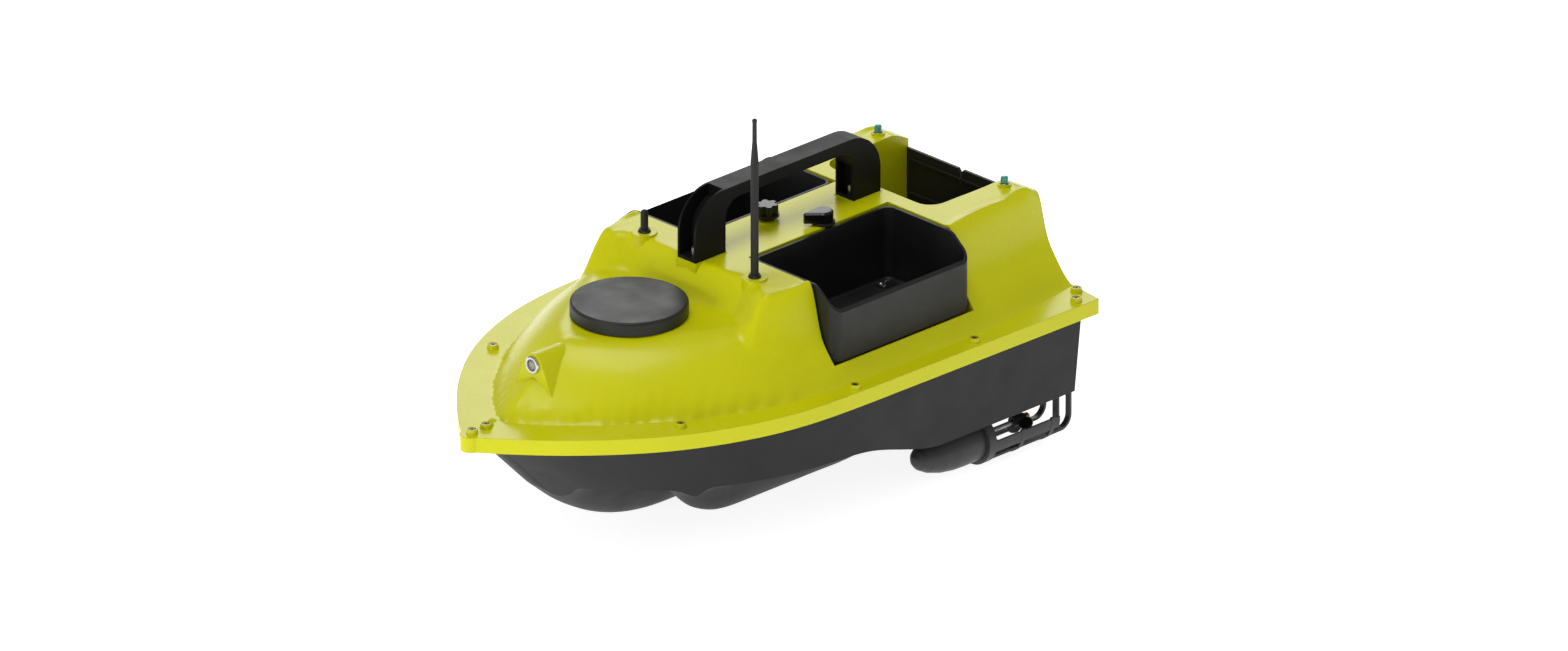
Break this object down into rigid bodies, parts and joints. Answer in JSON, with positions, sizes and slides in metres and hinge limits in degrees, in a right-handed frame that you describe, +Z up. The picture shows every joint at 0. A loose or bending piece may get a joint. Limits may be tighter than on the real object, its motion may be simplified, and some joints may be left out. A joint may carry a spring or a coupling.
{
  "type": "rc bait boat",
  "caption": "Radio-controlled fishing bait boat with a domed deck, tipping side hoppers, a rear bin with a drop door, a carry handle, antennas, a headlight and twin guarded propellers.",
  "frame": {"origin": "on the surface the boat stands on, under the middle of its length and width", "axes": "+X to the bow, +Y to port, +Z up"},
  "size_m": [0.5726, 0.331, 0.3439],
  "materials": {
    "lime_shell": "gloss",
    "charcoal_hull": "satin",
    "rubber": "matte",
    "dark_steel": "satin",
    "black_plastic": "satin",
    "chrome": "polished",
    "clear_lens": "clear",
    "led_board": "matte",
    "steel": "satin",
    "handle_plastic": "satin",
    "antenna_rubber": "matte",
    "brass": "satin",
    "green_lens": "gloss",
    "gloss_black": "gloss",
    "blue_wrap": "gloss",
    "pod_plastic": "satin"
  },
  "bodies": {
    "boat": {"antenna_collars": "black_plastic", "antenna_nuts": "brass", "battery_packs": "blue_wrap", "battery_tray": "led_board", "carry_handle": "handle_plastic", "charge_socket": "black_plastic", "control_board": "led_board", "control_box": "black_plastic", "deck_shell": "lime_shell", "flange_gasket": "rubber", "flange_screws": "dark_steel", "handle_screws": "steel", "hatch_ring": "black_plastic", "hatch_seal": "rubber", "headlight_bezel": "chrome", "headlight_led": "led_board", "headlight_lens": "clear_lens", "lower_hull": "charcoal_hull", "port_antenna": "antenna_rubber", "port_hopper_pins": "steel", "port_motor": "steel", "port_pod": "pod_plastic", "port_pod_cap": "pod_plastic", "port_propeller_guard": "pod_plastic", "port_release_magnet": "steel", "port_shaft_seal": "rubber", "power_switch": "black_plastic", "rear_bin_liner": "black_plastic", "rear_door_magnet": "steel", "rear_door_pin": "steel", "starboard_antenna": "antenna_rubber", "starboard_hopper_pins": "steel", "starboard_motor": "steel", "starboard_pod": "pod_plastic", "starboard_pod_cap": "pod_plastic", "starboard_propeller_guard": "pod_plastic", "starboard_release_magnet": "steel", "starboard_shaft_seal": "rubber", "tail_lamp_bezels": "dark_steel", "tail_lamps": "green_lens"},
    "port_hopper": {"port_hopper": "black_plastic", "port_keeper_plate": "steel"},
    "starboard_hopper": {"starboard_hopper": "black_plastic", "starboard_keeper_plate": "steel"},
    "rear_door": {"rear_door": "black_plastic", "rear_door_keeper": "steel"},
    "port_drive": {"port_propeller_shaft": "steel", "port_propeller": "black_plastic", "port_propeller_nut": "brass"},
    "starboard_drive": {"starboard_propeller_shaft": "steel", "starboard_propeller": "black_plastic", "starboard_propeller_nut": "brass"},
    "hatch_lid": {"hatch_lid": "black_plastic"},
    "power_knob": {"power_knob": "gloss_black"},
    "charge_cap": {"charge_cap": "gloss_black"}
  },
  "joints": [
    {"name": "port_hopper_tip", "type": "hinge", "parent": "boat", "child": "port_hopper", "pos_m": [-0.0866, 0.122, 0.1415], "axis": [-1, 0, 0], "range_deg": [0, 58]},
    {"name": "starboard_hopper_tip", "type": "hinge", "parent": "boat", "child": "starboard_hopper", "pos_m": [-0.0866, -0.122, 0.1415], "axis": [1, 0, 0], "range_deg": [0, 58]},
    {"name": "rear_door_drop", "type": "hinge", "parent": "boat", "child": "rear_door", "pos_m": [-0.2788, 0, 0.1347], "axis": [0, -1, 0], "range_deg": [0, 85]},
    {"name": "port_shaft_spin", "type": "hinge", "parent": "boat", "child": "port_drive", "pos_m": [-0.219, 0.128, 0.0225], "axis": [1, 0, 0], "continuous": true},
    {"name": "starboard_shaft_spin", "type": "hinge", "parent": "boat", "child": "starboard_drive", "pos_m": [-0.219, -0.128, 0.0225], "axis": [1, 0, 0], "continuous": true},
    {"name": "hatch_lid_turn", "type": "hinge", "parent": "boat", "child": "hatch_lid", "pos_m": [0.099, 0, 0.1855], "axis": [0, 0, 1], "range_deg": [0, 60]},
    {"name": "power_knob_turn", "type": "hinge", "parent": "boat", "child": "power_knob", "pos_m": [-0.0727, -0.0155, 0.2095], "axis": [0, 0, 1], "range_deg": [0, 90]},
    {"name": "charge_cap_turn", "type": "hinge", "parent": "boat", "child": "charge_cap", "pos_m": [-0.0988, 0.0236, 0.2095], "axis": [0, 0, 1], "range_deg": [0, 90]}
  ]
}
